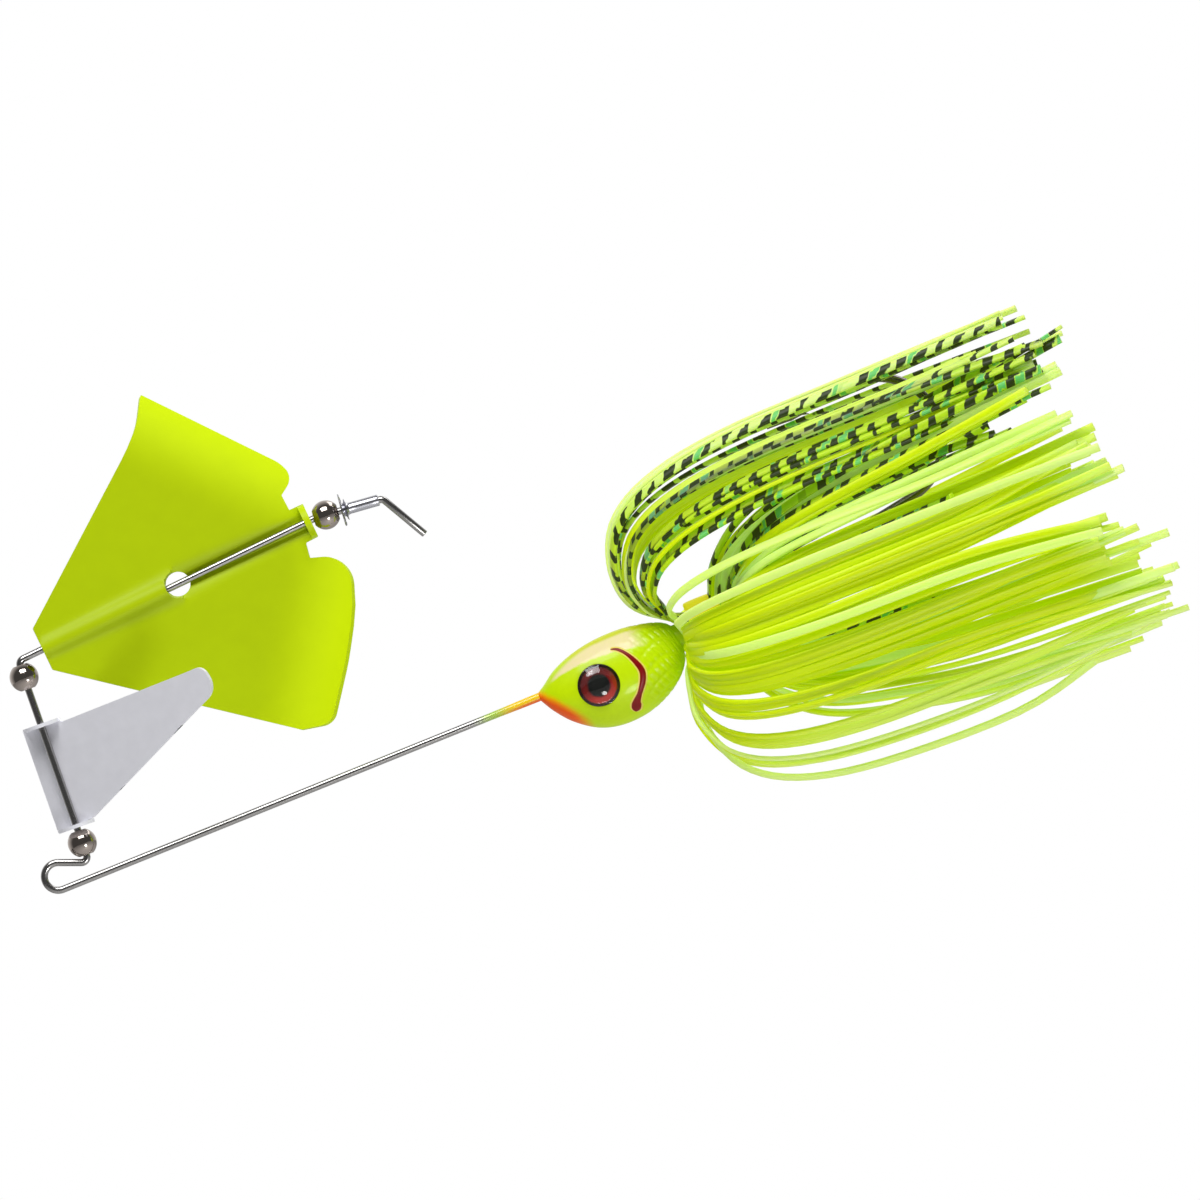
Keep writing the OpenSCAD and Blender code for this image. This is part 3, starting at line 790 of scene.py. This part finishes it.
def hook(material):
    """Hook with an eye inside the head, a round bend, a barb and a needle point."""
    bend_c, big_r, rise, drop = Vector((125.5, 0, 13.0)), 8.8, 9.8, 6.5
    wire_r, taper = 0.65, 0.53
    shank_len, leg_len, needle_len = 51.3, 9.0, 3.4
    shank_end = bend_c + big_r * flat(rise - 90)
    start = shank_end - shank_len * flat(rise)
    path = [start.lerp(shank_end, k / 40) for k in range(40)]
    sweep = 180 + drop - rise
    path += [bend_c + big_r * flat(rise - 90 + sweep * k / 60) for k in range(61)]
    leg, away = path[-1], flat(180 + drop)
    path += [leg + away * leg_len * k / 12 for k in range(1, 13)]
    needle = len(path)
    path += [leg + away * (leg_len + needle_len * k / 10) for k in range(1, 11)]

    def radius(i):
        return wire_r if i < needle else wire_r - taper * ((i - needle + 1) / 10) ** 0.8

    mesh = Mesh()
    mesh.tube(path, radius)
    barb = leg + away * 8.2
    tip = barb - away * 1.9 + Vector((0, 0, -0.95))
    mesh.tube([barb, barb.lerp(tip, 0.5), tip], lambda i: (0.34, 0.2, 0.05)[i], 12)
    eye = start - 1.5 * flat(rise)
    rings = []
    for k in range(40):
        out = flat(9 * k)
        rings.append([eye + 1.22 * out + (out * x - TO_VIEWER * y) * 0.55 for x, y in turns(16)])
    mesh.rings(rings, loop=True)
    mesh.build("hook", material, "lure", "hook", ["hook"])


def band(material):
    half, outer, inner = 2.35, 4.15, 3.2
    profile = [(outer + 0.08 * math.cos(math.pi * k / 16), half * k / 8.6) for k in range(-8, 9)]
    profile += [(outer - 0.18, half), (inner + 0.1, half), (inner, half - 0.1)]
    profile += [(inner, -half + 0.1), (inner + 0.1, -half), (outer - 0.18, -half)]

    def squeezed(r, h, a):
        lump = noise.noise(Vector((math.cos(a) * 3, math.sin(a) * 3, h * 0.3)))
        skin = r > (inner + outer) / 2
        return r + 0.10 * lump * skin, h + 0.12 * noise.noise(Vector((a * 2, 5, 0))) * skin

    mesh = Mesh()
    mesh.lathe(profile, place(Vector((BAND_X, 0, AXIS_Z)), X_AXIS), 96, squeezed)
    mesh.build("skirt_band_rubber", material, "lure", "band", ["skirt_band"])


# ---------- main blade and clacker

BLADE_T = 0.8
WINDOW_X = 20.4
BLADE_TILT = math.tan(math.radians(2.86))
CURL_R = 17.0
RIB_R = 0.99
RIB_SLOPE = 1.2
RIB_BLEND = 2.6


def soft_max(a, b, k):
    h = max(k - abs(a - b), 0) / k
    return max(a, b) + h * h * k / 4


def blade_to_world(x, y, z):
    """From the blade's frame (along the shaft, up, towards the viewer's side) to the object's."""
    return CORNER + SHAFT * (BLADE_FOOT + x) + BLADE_UP * y + TO_VIEWER * z


def curl(p, a, b, way):
    """Height of a wing whose trailing edge runs from a to b, at point p."""
    s = max(0, outwards(a, b).dot(p - a) + CURL_W)
    s = min(s, CURL_R * 0.9)
    return way * (CURL_R - math.sqrt(CURL_R ** 2 - s * s))


def blade_surface(x, y):
    p = Vector((x, y))
    z = -BLADE_TILT * (x - WINDOW_X)
    z += curl(p, *WING_EDGES[0], -1) if y > 0 else curl(p, *WING_EDGES[1], 1)
    over = math.sqrt(max(0, RIB_R ** 2 - y * y)) if abs(y) < RIB_R else -RIB_SLOPE * (abs(y) - RIB_R)
    if x < WINDOW_X:
        z = soft_max(z, over, RIB_BLEND)
    else:
        z = -soft_max(-z, over, RIB_BLEND)
    return blade_to_world(x, y, z)


def main_blade(paint):
    v = [(-0.05, 3.1), (22.2, 19.6), (24.6, 21.9), (26.8, 25.3), (39.9, 8.6), (40.6, 6.2), (38.2, 4.7),
         (38.3, 2.45), (40.3, 2.4), (40.3, -2.4), (38.5, -2.5), (38.1, -4.6), (41.0, -5.7), (42.5, -8.4),
         (40.9, -13.0), (36.6, -19.4), (31.15, -26.25), (27.0, -25.2), (-0.05, -3.1)]
    r = [0.3, 30, 10, 0.15, 5, 1.9, 0.25, 0.15, 0.1, 0.1, 0.25, 0.25, 3.6, 3.8, 22, 40, 2.3, 0.5, 0.3]
    outline = round_corners([Vector(p) for p in v], r)
    mesh = Mesh()
    mesh.sheet(outline, [(WINDOW_X, 0, 1.8)], 0.5, blade_surface, BLADE_T)

    def tab(x, t, reach, half, low):
        shape = [Vector((-half, low)), Vector((-half, 0))]
        shape += [Vector((-half * math.cos(math.pi * k / 20), reach * math.sin(math.pi * k / 20)))
                  for k in range(1, 20)]
        shape += [Vector((half, 0)), Vector((half, low))]
        mesh.sheet(shape, [(0, 0, RUN_R)], 0.5, lambda y, z: blade_to_world(x, y, z), t)

    tab(39.95, 0.9, 2.4, 2.38, -1.3)
    tab(0.45, 0.8, -1.9, 1.9, 1.2)
    mesh.build("delta_blade", paint, "blade", "blade_paint", ["main_blade"], bevel=0.16, sharp=30)


CLACKER_TURN = math.radians(34)
CLACKER_T = 0.5
CLACKER_H = 15.0


def clacker_to_world(x, y, z):
    """From the clacker's frame (along the wing, away from the viewer, up the wire) to the object's."""
    across = Vector((ARM.z, 0, -ARM.x))
    wing = across * math.cos(CLACKER_TURN) + TO_VIEWER * math.sin(CLACKER_TURN)
    back = across * math.sin(CLACKER_TURN) - TO_VIEWER * math.cos(CLACKER_TURN)
    foot = FOOT + ARM * (BEAD_LOWER_S + BEAD_R + 0.16)
    return foot + wing * x + back * y + ARM * z


def clacker(material):
    behind = RUN_R + 0.05 + CLACKER_T / 2
    v = [(-3.6, 0), (2.6, 0.6), (28.6, 11.5), (27.6, 15.2), (25.0, 15.05), (2.9, 14.3), (2.5, 15.0),
         (-3.6, 15.0)]
    outline = round_corners([Vector(p) for p in v], [0.25, 0.4, 2.3, 1.5, 3.0, 0.3, 0.2, 0.25])
    mesh = Mesh()
    mesh.sheet(outline, [], 0.6, lambda x, z: clacker_to_world(x, behind, z), CLACKER_T)
    for z in (CLACKER_T / 2, CLACKER_H - CLACKER_T / 2):
        r = 2.55
        shape = [Vector((-3.5, behind + 0.2)), Vector((-2.9, 0.2))]
        shape += [Vector((r * math.cos(a), r * math.sin(a)))
                  for a in (math.radians(180 + 180 * k / 24) for k in range(1, 24))]
        shape += [Vector((r, 0.2)), Vector((2.4, behind + 0.2))]
        mesh.sheet(shape, [(0, 0, RUN_R)], 0.5, lambda x, y, z=z: clacker_to_world(x, y, z), CLACKER_T)
    mesh.build("clacker_plate", material, "clacker", "clacker", ["clacker_blade"], bevel=0.1, sharp=30)


# ---------- head and eyes

# Stations of the head: distance from the nose, top, bottom, share of the half width
STATIONS = [Vector(s) for s in (
    (0, -1.35, -2.42, 0.13), (1.2, -0.6, -4.5, 0.42), (3.2, 0.75, -6.85, 0.69), (6.2, 1.9, -8.9, 0.9),
    (9.7, 2.55, -9.7, 1), (13.7, 2.6, -9.3, 1), (17.2, 2.0, -7.8, 0.88), (19.4, 1.2, -6.0, 0.7),
    (20.6, 0, -4.2, 0.46))]
HEAD_HALF_W = 4.4


def head_section(x):
    """Top, bottom and half width of the head at a distance behind the nose."""
    low, high = 0.0, len(STATIONS) - 1.0
    for _ in range(30):
        mid = (low + high) / 2
        if catmull(STATIONS, mid)[0] < x:
            low = mid
        else:
            high = mid
    _, top, bottom, share = catmull(STATIONS, low)
    return top, bottom, share * HEAD_HALF_W


def head_side(x, z):
    """Half width of the head's surface at a place on its flank."""
    top, bottom, half = head_section(x - HEAD_X)
    q = (z - (top + bottom) / 2) / ((top - bottom) / 2)
    return half * math.sqrt(max(0, 1 - q * q))


def scale_relief(x, girth):
    """Pressed scales on the rear of the head: a groove along each edge of a slanted grid."""
    fade = smooth_step(82.6, 85.0, x)
    a, b = x / 1.8 + girth / 2.1, x / 1.8 - girth / 2.1
    edge = min(abs(a - round(a)), abs(b - round(b)))
    return -0.16 * fade * (1 - smooth_step(0.0, 0.22, edge))


def head(paint):
    slices, sides = 130, 140
    rings = []
    for i in range(slices + 1):
        s = (len(STATIONS) - 1) * i / slices
        x, top, bottom, share = catmull(STATIONS, s)
        half_h, half_w = (top - bottom) / 2, share * HEAD_HALF_W
        ring = []
        for k in range(sides):
            a = TAU * k / sides
            out = Vector((0, math.cos(a) / half_w, math.sin(a) / half_h)).normalized()
            lift = scale_relief(HEAD_X + x, a * (half_w + half_h) / 2)
            mid_z = (top + bottom) / 2
            ring.append(Vector((HEAD_X + x, half_w * math.cos(a), mid_z + half_h * math.sin(a))) + out * lift)
        rings.append(ring)
    mesh = Mesh()
    mesh.rings(rings)
    obj = mesh.build("head_casting", paint, "lure", "head_paint", ["head"], sharp=60)
    cutters = []
    for side in (-1, 1):
        seat, seat_r = Mesh(), EYE_R + 0.04
        seat.rings([[Vector((EYE.x + seat_r * c, side * y, EYE.z + seat_r * s)) for c, s in turns(72)]
                    for y in (EYE.y - 0.02, EYE.y + 3)])
        data = seat.data("seat")
        drop_loose(data)
        cutters.append(add_object("seat", data))
    cut(obj, cutters)
    shade(obj, 50)
    collar = Mesh()
    profile = [(0.0, 0), (2.0, 0), (2.0, 6.8), (2.15, 7.0), (2.15, 7.2), (2.0, 7.5), (1.9, 9.6), (1.7, 10.1),
               (0.0, 10.1)]
    collar.cap_lathe(profile, place(Vector((88.1, 0, AXIS_Z)), X_AXIS), 48)
    collar.build("skirt_collar", paint, "lure", "head_paint", ())


def gill_stroke(name, paint, margin, height):
    """A brushed stroke with a drop at its lower end, laid on each side of the head."""
    # x, z and half width of the stroke
    spine = [Vector(p) for p in (
        (81.2, 0.50, 0.10), (82.1, 0.1, 0.24), (83.0, -0.9, 0.28), (83.75, -2.4, 0.40), (84.1, -3.8, 0.47),
        (83.7, -5.1, 0.46), (82.7, -6.5, 0.38), (82.0, -7.3, 0.55), (81.7, -7.8, 0.75), (81.4, -8.35, 0.62),
        (81.25, -8.65, 0.12))]
    steps, across = 70, 8
    for side in (-1, 1):
        rings = []
        for i in range(steps + 1):
            s = (len(spine) - 1) * i / steps
            here = catmull(spine, s)
            ahead = catmull(spine, min(s + 0.05, len(spine) - 1)) - catmull(spine, max(s - 0.05, 0))
            normal = Vector((-ahead.y, ahead.x)).normalized()
            upper, lower = [], []
            for k in range(across + 1):
                t = 2 * k / across - 1
                reach = t * (here.z + margin)
                x, z = here.x + normal.x * reach, here.y + normal.y * reach
                y = head_side(x, z)
                upper.append(Vector((x, side * (y + 0.01 + height * (1 - t * t)), z)))
                lower.append(Vector((x, side * (y - 0.12), z)))
            rings.append(upper + lower[::-1])
        mesh = Mesh()
        mesh.rings(rings)
        mesh.build(name + ("_left" if side < 0 else "_right"), paint, "lure", "head_paint", (), sharp=70)


def eyes(foil, resin):
    cap_h, foil_t = 1.0, 0.25
    cap_r = (EYE_R ** 2 + cap_h ** 2) / (2 * cap_h)
    for side, word in ((-1, "left"), (1, "right")):
        seat = Vector((EYE.x, side * EYE.y, EYE.z))
        at = place(seat, Vector((0, side, 0)), X_AXIS)
        disc = Mesh()
        face = [(r, foil_t) for r in (EYE_R - 0.05, 2.2, 1.5, 0.7, 0)]
        disc.cap_lathe([(0, 0), (EYE_R - 0.02, 0), (EYE_R, 0.05), (EYE_R, 0.2)] + face, at, 96)
        disc.build("eye_disc_" + word, foil, "lure", "eye_foil", ["eye_foil_" + word], sharp=40)
        dome = [(0, 0.26), (EYE_R - 0.03, 0.26), (EYE_R - 0.01, 0.31)]
        for k in range(18):
            h = cap_h * (k + 1) / 19
            r = math.sqrt(max(0, cap_r ** 2 - (cap_r - cap_h + h) ** 2))
            dome.append((min(r, EYE_R - 0.01), foil_t + h))
        dome.append((0, foil_t + cap_h))
        lens = Mesh()
        lens.cap_lathe(dome, at, 96)
        lens.build("eye_lens_" + word, resin, "lure", "eye_dome", ["eye_dome_" + word])


# ---------- skirt

STRAND_W = 0.60
STRAND_T = 0.27
STRAND_PITCH = 1.16
STRAND_STEPS = 44
# Corners of a strand's section, in half widths, and how far across the strand each is
SECTION = [(-1, -0.55), (-0.78, -1), (0, -1), (0.78, -1), (1, -0.55)]
SECTION += [(a, -b) for a, b in reversed(SECTION)]
ACROSS = [0.0, 0.1, 0.5, 0.9, 1.0, 1.0, 0.9, 0.5, 0.1, 0.0, 0.0]
ROOT_R = 2.6
LAST_X = 157.6
GAP_ANGLE = 99.0
GAP_PUSH = 4.2
GAP_SPREAD = 18.0
PATH_SHARE = 0.2
STRAY_SHARE = 0.36

# Locks of strands: kind and way, angle from straight up towards the left side, reach, foremost x, strands,
# tip x, stack angle, flare at the tip. A folded lock leaves the band forwards and comes back over the
# outside; a rear lock goes straight back.
LOCKS = [
    ("pearl fold", 8, 24.1, 85.6, 2, 147.6, 0, 0.6),
    ("pearl fold", -16, 24.9, 85.3, 2, 149.5, 0, 0),
    ("barred fold", 21, 24.4, 85.8, 3, 147.5, 20, 0.6),
    ("barred fold", -26, 24.6, 86.2, 3, 150.0, 10, 0),
    ("pearl fold", 33, 22.8, 87.0, 1, 153.9, 0, 0),
    ("barred fold", 33, 23.5, 87.2, 3, 149.4, 40, 0.5),
    ("plain fold", 27, 23.0, 86.8, 2, 142.5, 30, 0.0),
    ("pearl fold", 101, 24.6, 91.4, 1, 149.0, 0, 0.8),
    ("plain fold", -38, 23.0, 87.6, 3, 146.0, 0, 0),
    ("barred fold", 42, 22.6, 88.6, 3, 149.6, 40, 0.6),
    ("barred fold", -46, 23.0, 89.0, 2, 147.0, 0, 0),
    ("plain fold", 46, 21.8, 89.2, 1, 145.0, 0, 0),
    ("barred rear", 30, 20.4, 96.4, 3, 147.0, 30, 1.0),
    ("plain rear", 36, 19.4, 96.6, 2, 139.4, 10, 0),
    ("pearl rear", 44, 19.8, 97.0, 2, 149.0, 10, 2.5),
    ("barred rear", 39, 20.4, 97.2, 2, 154.1, 80, 3.4),
    ("pearl rear", 50, 21.6, 97.8, 2, 152.5, 0, 1.2),
    ("barred rear", 55, 20.6, 98.2, 2, 146.0, 10, 0.5),
    ("barred rear", 53, 22.8, 98.4, 2, 150.2, 0, 0.6),
    ("pearl rear", 67, 22.6, 98.4, 2, 150.8, 0, 1.5),
    ("plain rear", 59, 22.8, 98.6, 2, 147.0, 0, 1.5),
    ("barred fold", 49, 21.0, 89.6, 2, 148.0, 0, 1.0),
    ("barred rear", 62, 20.4, 98.0, 4, 142.6, 20, 0.5),
    ("barred rear", -60, 20.0, 98.0, 2, 140.0, 0, 0),
    ("pearl fold", 70, 22.8, 90.5, 1, 153.0, 0, 1.5),
    ("pearl fold", 83, 24.2, 91.0, 1, 153.4, 0, 1.2),
    ("barred rear", 79, 21.4, 97.6, 1, 132.0, 0, 0),
    ("plain fold", 87, 22.8, 91.5, 3, 150.5, 0, 1.6),
    ("plain rear", 78, 21.4, 97.0, 4, 153.0, 20, 1.4),
    ("plain rear", 84, 18.6, 97.0, 5, 148.5, 10, 1.0),
    ("plain fold", 94, 23.2, 91.8, 4, 154.0, 0, 1.0),
    ("pearl rear", 93, 22.6, 97.4, 2, 155.2, 0, 1.2),
    ("plain rear", -76, 20.0, 97.0, 4, 149.0, 0, 0),
    ("plain fold", -86, 22.0, 91.5, 4, 152.0, 0, 0.8),
    ("plain fold", 103, 23.4, 91.2, 5, 147.8, 0, 0.4),
    ("plain rear", 108, 20.4, 97.4, 5, 147.6, 10, 0.4),
    ("barred rear", 113, 22.8, 97.6, 1, 149.6, 0, 0.8),
    ("plain fold", 115, 23.6, 90.6, 5, 148.5, 0, 0.3),
    ("pearl rear", 119, 22.0, 97.2, 2, 156.2, 0, 0.8),
    ("plain rear", 124, 22.2, 97.2, 5, 152.0, 0, 0.6),
    ("plain fold", 129, 24.4, 90.0, 4, 154.0, 0, 0.3),
    ("pearl rear", 133, 23.4, 97.0, 2, 157.0, 0, 0.4),
    ("plain rear", -106, 20.0, 97.4, 5, 150.0, 0, 0),
    ("plain fold", -116, 23.0, 91.0, 4, 149.0, 0, 0),
    ("plain rear", -128, 22.0, 97.0, 4, 153.0, 0, 0),
    ("plain rear", 140, 24.0, 96.6, 4, 154.8, 0, 0.2),
    ("plain fold", 146, 24.0, 89.6, 2, 151.6, 0, 0),
    ("pearl rear", 151, 24.6, 96.4, 1, 156.0, 0, 0),
    ("plain rear", -146, 24.2, 96.6, 3, 153.0, 0, 0),
    ("plain fold", 152, 24.8, 89.6, 1, 147.5, 0, -1.0),
    ("pearl fold", 158, 24.6, 88.8, 1, 150.5, 0, -0.6),
    ("plain fold", 165, 25.0, 89.4, 1, 154.0, 0, -2.2),
    ("plain rear", 161, 23.0, 96.2, 2, 153.5, 0, 0),
    ("plain rear", 171, 24.8, 96.0, 1, 149.0, 0, -0.8),
    ("pearl rear", -164, 24.6, 96.4, 1, 152.0, 0, 0),
    ("plain fold", -172, 24.2, 88.6, 2, 147.0, 0, 0),
    ("pearl fold", 175, 26.2, 89.6, 1, 141.8, 0, -2.6),
]

# Shape of each way behind its foremost point: x past it, fixed part of the reach, share of the lock's reach
FOLD = [(0.4, 2.8, 0.20), (0, 2.4, 0.42), (2.8, 1.5, 0.69), (9.5, 0.8, 0.87), (21, 0.3, 0.97), (40, 0, 1.0)]
REAR_WAY = [(0.2, 2.4, 0.10), (1.6, 1.8, 0.30), (5, 1.2, 0.52), (10, 0.8, 0.68), (18, 0.4, 0.80),
            (32, 0, 0.93)]


def skirt_point(x, out, angle):
    """The point at x, out from the skirt's axis, at an angle in degrees from straight up."""
    a = math.radians(angle)
    return Vector((x, -out * math.sin(a), AXIS_Z + out * math.cos(a)))


def strand_path(way, angle, reach, lead, tip, root_angle, layer):
    """Points of one strand, from under the band to its tip, given as (x, reach, angle)."""
    if way == "fold":
        marks, shape = [(97.0, ROOT_R), (93.0, ROOT_R), (0.45 * lead + 50.3, 3.2 + 0.05 * reach)], FOLD
    else:
        marks, shape = [(92.6, ROOT_R), (95.6, ROOT_R)], REAR_WAY
    marks += [(lead + x, fixed + share * reach) for x, fixed, share in shape]
    points = []
    for i, (x, out) in enumerate(marks):
        turn = root_angle + (angle - root_angle) * smooth_step(1.0, 5.0, i)
        points.append(skirt_point(x, out + layer * (1 - smooth_step(0, 4, i)), turn))
    points.append(skirt_point(*tip))
    return [catmull(points, (len(points) - 1) * i / STRAND_STEPS) for i in range(STRAND_STEPS + 1)]


def strand(mesh, number, path, twist_a, twist_b, wave):
    """Adds one flat strand. wave is a small sideways drift that grows towards the tip."""
    last = len(path) - 1
    length, rings, uvs = 0.0, [], []
    for i, p in enumerate(path):
        t = i / last
        ahead = (path[min(i + 1, last)] - path[max(i - 1, 0)]).normalized()
        round_axis = Vector((0, AXIS_Z - p.z, p.y)).normalized()
        wide = (round_axis - ahead * round_axis.dot(ahead)).normalized()
        deep = wide.cross(ahead)
        turn = twist_a + twist_b * t
        flat_side = wide * math.cos(turn) + deep * math.sin(turn)
        thin_side = wide * -math.sin(turn) + deep * math.cos(turn)
        if i:
            length += (p - path[i - 1]).length
        drift = wide * math.sin(4.2 * t + number) + deep * 0.6 * math.cos(3.1 * t + 1.7 * number)
        centre = p + drift * wave * t * t
        grow = 0.52 + 0.48 * smooth_step(0.06, 0.26, t)
        w, d = STRAND_W * grow, STRAND_T * grow
        rings.append([centre + flat_side * a * w + thin_side * b * d for a, b in SECTION])
        uvs.append([(number + 0.98 * c, length) for c in ACROSS])
    mesh.rings(rings, uvs)


def part_ways(angle):
    """Degrees by which a tip turns away from the gap that opens on each side."""
    past = abs(angle) - GAP_ANGLE
    push = GAP_PUSH * (1 - smooth_step(0, GAP_SPREAD, abs(past)))
    return math.copysign(push, past * angle)


def skirt(materials):
    """All strands, gathered into one piece for each bundle of the CAD model and each kind of strand."""
    names = ((45, "skirt_top"), (90, "skirt_upper"), (135, "skirt_lower"), (181, "skirt_bottom"))
    meshes, number = {}, 0
    for kind_and_way, angle, reach, lead, count, tip_x, stack, flare in LOCKS:
        kind, way = kind_and_way.split()
        word = next(name for limit, name in names if abs(angle) < limit)
        bundle = word + ("_left" if angle > 0 else "_right")
        mesh = meshes.setdefault((bundle, kind), Mesh())
        tip_swing = random.uniform(-2, 2)
        for i in range(count):
            step = (i - (count - 1) / 2) * STRAND_PITCH
            side = step * math.cos(math.radians(stack))
            depth = step * math.sin(math.radians(stack)) * 0.6
            own_angle = angle + math.degrees(side / reach) + random.uniform(-1.2, 1.2)
            own_angle += PATH_SHARE * part_ways(own_angle)
            own_reach = reach + depth + random.uniform(-0.4, 0.4)
            stray = random.random() < STRAY_SHARE
            tip = (tip_x + random.uniform(-0.5, 0.4) + stray * random.uniform(-4, 2.5),
                   own_reach + flare + random.uniform(-0.4, 0.4) + stray * random.uniform(-1.8, 0.8),
                   own_angle + tip_swing + random.uniform(-1.2, 1.2) + stray * random.uniform(-6, 6))
            tip = (min(tip[0], LAST_X), tip[1], tip[2] + part_ways(tip[2]))
            root = own_angle + random.uniform(-6, 6)
            path = strand_path(way, own_angle, own_reach, lead, tip, root, random.choice((-0.2, 0.05, 0.3)))
            strand(mesh, number, path, random.uniform(-0.3, 0.3), random.uniform(-0.9, 0.9),
                   random.uniform(0.2, 1.4))
            number += 1
    done = set()
    for (bundle, kind), mesh in meshes.items():
        stands_for = [] if bundle in done else [bundle]
        done.add(bundle)
        mesh.build(f"{bundle}_{kind}_strands", materials[kind], "lure", "skirt_" + kind, stands_for, sharp=60)


# ---------- the object

bpy.context.scene.view_settings.view_transform = "Standard"
camera()
studio()
floor()

nickel = plated_steel("bead_nickel", (0.46, 0.40, 0.36), 0.10)
wire_form(wire_steel())
bead("bead_lower", "lower_bead", FOOT + BEAD_LOWER_S * ARM, ARM, nickel)
bead("bead_corner", "corner_bead", FOOT + BEAD_CORNER_S * ARM, ARM, nickel)
bead("bead_rear", "rear_bead", KINK + BEAD_REAR_S * REAR, REAR, nickel)
rivet(sheet_aluminium("rivet_aluminium", 0.26, (0.52, 0.52, 0.56), 1.0))
hook(plated_steel("hook_nickel", (0.17, 0.155, 0.15), 0.16))
band(band_rubber())
main_blade(blade_paint())
clacker(sheet_aluminium("clacker_aluminium", 0.42, (0.94, 0.94, 1.0), 0.2))
head(head_paint())
gill_stroke("gill_outline", gill_paint("outline_paint", (0.80, 0.62, 0.06), (0.90, 0.76, 0.20)), 0.15, 0.04)
gill_stroke("gill_stroke", gill_paint("gill_paint", (0.16, 0.001, 0.002), (0.32, 0.003, 0.004)), 0.0, 0.1)
eyes(eye_foil(), eye_resin())
skirt({
    "plain": silicone("silicone_chartreuse", (0.54, 0.68, 0.0), (0.64, 0.84, 0.0), 0.13),
    "barred": silicone("silicone_barred", (0.46, 0.72, 0.0), (0.55, 0.86, 0.04), 0.03,
                       ((0.007, 0.014, 0.004), (0.14, 0.55, 0.16))),
    "pearl": silicone("silicone_pearl", (0.58, 0.92, 0.12), (0.70, 0.98, 0.26), 0.13),
})
